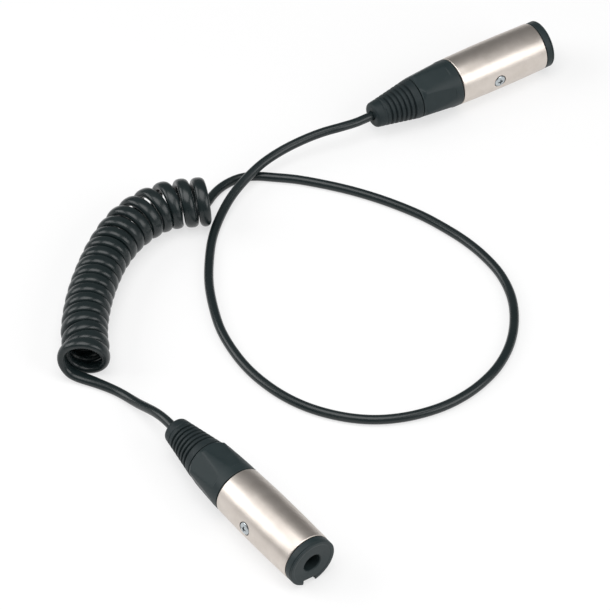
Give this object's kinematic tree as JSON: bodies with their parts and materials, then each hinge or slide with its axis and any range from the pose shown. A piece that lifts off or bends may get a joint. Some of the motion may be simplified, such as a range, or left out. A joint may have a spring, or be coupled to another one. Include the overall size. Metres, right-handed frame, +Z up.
{
  "type": "curled audio cord with jack sockets",
  "caption": "Curled black audio cord with an in-line 6.35 mm jack socket in a satin nickel shell and a screwed black boot on each end, lying in one loop",
  "frame": {"origin": "on the table, under the middle of the box round the two connectors", "axes": "+Z up; socket A faces -Y; socket B faces roughly +X, turned 6.4 degrees towards -Y"},
  "size_m": [0.24, 0.1751, 0.019],
  "materials": {
    "satin_nickel": "satin nickel plate, very fine grain",
    "black_plastic": "moulded, lightly grained",
    "black_rubber": "soft moulded, matt",
    "cord_jacket": "smooth extruded jacket, soft sheen",
    "spring_bronze": "plated phosphor bronze strip",
    "bright_zinc": "bright zinc plate",
    "chuck_nylon": "natural nylon",
    "red_core": "wire insulation",
    "white_core": "wire insulation",
    "screen_core": "twisted copper screen, bare"
  },
  "bodies": {
    "cable": {"shell_a": "satin_nickel", "insert_a": "black_plastic", "screw_a": "bright_zinc", "cord_end_a": "cord_jacket", "tip_core_a": "red_core", "ring_core_a": "white_core", "sleeve_core_a": "screen_core", "shell_b": "satin_nickel", "insert_b": "black_plastic", "screw_b": "bright_zinc", "cord_end_b": "cord_jacket", "tip_core_b": "red_core", "ring_core_b": "white_core", "sleeve_core_b": "screen_core", "lead_a": "cord_jacket", "coil": "cord_jacket", "lead_b": "cord_jacket"},
    "chuck_a": {"chuck_a": "chuck_nylon"},
    "boot_a": {"boot_nut_a": "black_plastic", "boot_tail_a": "black_rubber"},
    "tip_spring_a": {"tip_spring_a": "spring_bronze"},
    "ring_spring_a": {"ring_spring_a": "spring_bronze"},
    "sleeve_spring_a": {"sleeve_spring_a": "spring_bronze"},
    "chuck_b": {"chuck_b": "chuck_nylon"},
    "boot_b": {"boot_nut_b": "black_plastic", "boot_tail_b": "black_rubber"},
    "tip_spring_b": {"tip_spring_b": "spring_bronze"},
    "ring_spring_b": {"ring_spring_b": "spring_bronze"},
    "sleeve_spring_b": {"sleeve_spring_b": "spring_bronze"}
  },
  "joints": [
    {"name": "boot_travel_a", "type": "slide", "parent": "cable", "child": "chuck_a", "axis": [0, 1, 0], "range_m": [0, 0.00413]},
    {"name": "boot_turn_a", "type": "hinge", "parent": "chuck_a", "child": "boot_a", "pos_m": [-0.10925, -0.04007, 0.0095], "axis": [0, 1, 0], "range_deg": [0, 990]},
    {"name": "tip_flex_a", "type": "hinge", "parent": "cable", "child": "tip_spring_a", "pos_m": [-0.10859, -0.04867, 0.01365], "axis": [-0.9877, 0, 0.1564], "range_deg": [0, 8], "stiffness_Nm_per_rad": 0.02},
    {"name": "ring_flex_a", "type": "hinge", "parent": "cable", "child": "ring_spring_a", "pos_m": [-0.1051, -0.04867, 0.00884], "axis": [0.1564, 0, 0.9877], "range_deg": [0, 4], "stiffness_Nm_per_rad": 0.06},
    {"name": "sleeve_flex_a", "type": "hinge", "parent": "cable", "child": "sleeve_spring_a", "pos_m": [-0.10991, -0.04867, 0.00535], "axis": [0.9877, 0, -0.1564], "range_deg": [0, 1.2], "stiffness_Nm_per_rad": 0.4},
    {"name": "boot_travel_b", "type": "slide", "parent": "cable", "child": "chuck_b", "axis": [-0.9938, 0.1115, 0], "range_m": [0, 0.00413]},
    {"name": "boot_turn_b", "type": "hinge", "parent": "chuck_b", "child": "boot_b", "pos_m": [0.07722, 0.07141, 0.0095], "axis": [-0.9938, 0.1115, 0], "range_deg": [0, 990]},
    {"name": "tip_flex_b", "type": "hinge", "parent": "cable", "child": "tip_spring_b", "pos_m": [0.08577, 0.07045, 0.0137], "axis": [-0.1115, -0.9938, 0], "range_deg": [0, 8], "stiffness_Nm_per_rad": 0.02},
    {"name": "ring_flex_b", "type": "hinge", "parent": "cable", "child": "ring_spring_b", "pos_m": [0.08623, 0.07463, 0.0095], "axis": [0, 0, 1], "range_deg": [0, 4], "stiffness_Nm_per_rad": 0.06},
    {"name": "sleeve_flex_b", "type": "hinge", "parent": "cable", "child": "sleeve_spring_b", "pos_m": [0.08577, 0.07045, 0.0053], "axis": [0.1115, 0.9938, 0], "range_deg": [0, 1.2], "stiffness_Nm_per_rad": 0.4}
  ],
  "couplings": [
    {"joint": "boot_turn_a", "follows": "boot_travel_a", "rad_per_m": 4188.8},
    {"joint": "boot_turn_b", "follows": "boot_travel_b", "rad_per_m": 4188.8}
  ]
}
